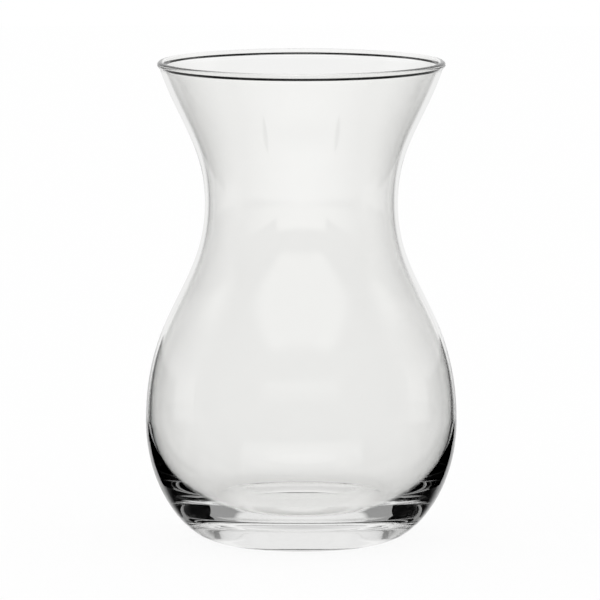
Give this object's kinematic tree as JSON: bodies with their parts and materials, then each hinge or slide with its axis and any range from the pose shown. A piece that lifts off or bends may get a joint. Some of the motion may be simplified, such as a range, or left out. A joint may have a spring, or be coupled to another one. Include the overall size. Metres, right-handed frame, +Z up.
{
  "type": "vase",
  "caption": "Clear glass vase with a flared mouth, drawn-in waist, round belly and thick flat base, for holding cut flowers in water.",
  "frame": {"origin": "centre of the foot, on the surface that the vase stands on", "axes": "+Z up along the axis that the vase is turned about, out of the mouth; X and Y are level and interchangeable"},
  "size_m": [0.1298, 0.1298, 0.2],
  "materials": {
    "clear_glass": "clear, smooth and fire-polished"
  },
  "bodies": {
    "root": {"base": "clear_glass", "heel": "clear_glass", "belly": "clear_glass", "shoulder": "clear_glass", "waist": "clear_glass", "flare": "clear_glass", "rim": "clear_glass"}
  },
  "joints": []
}
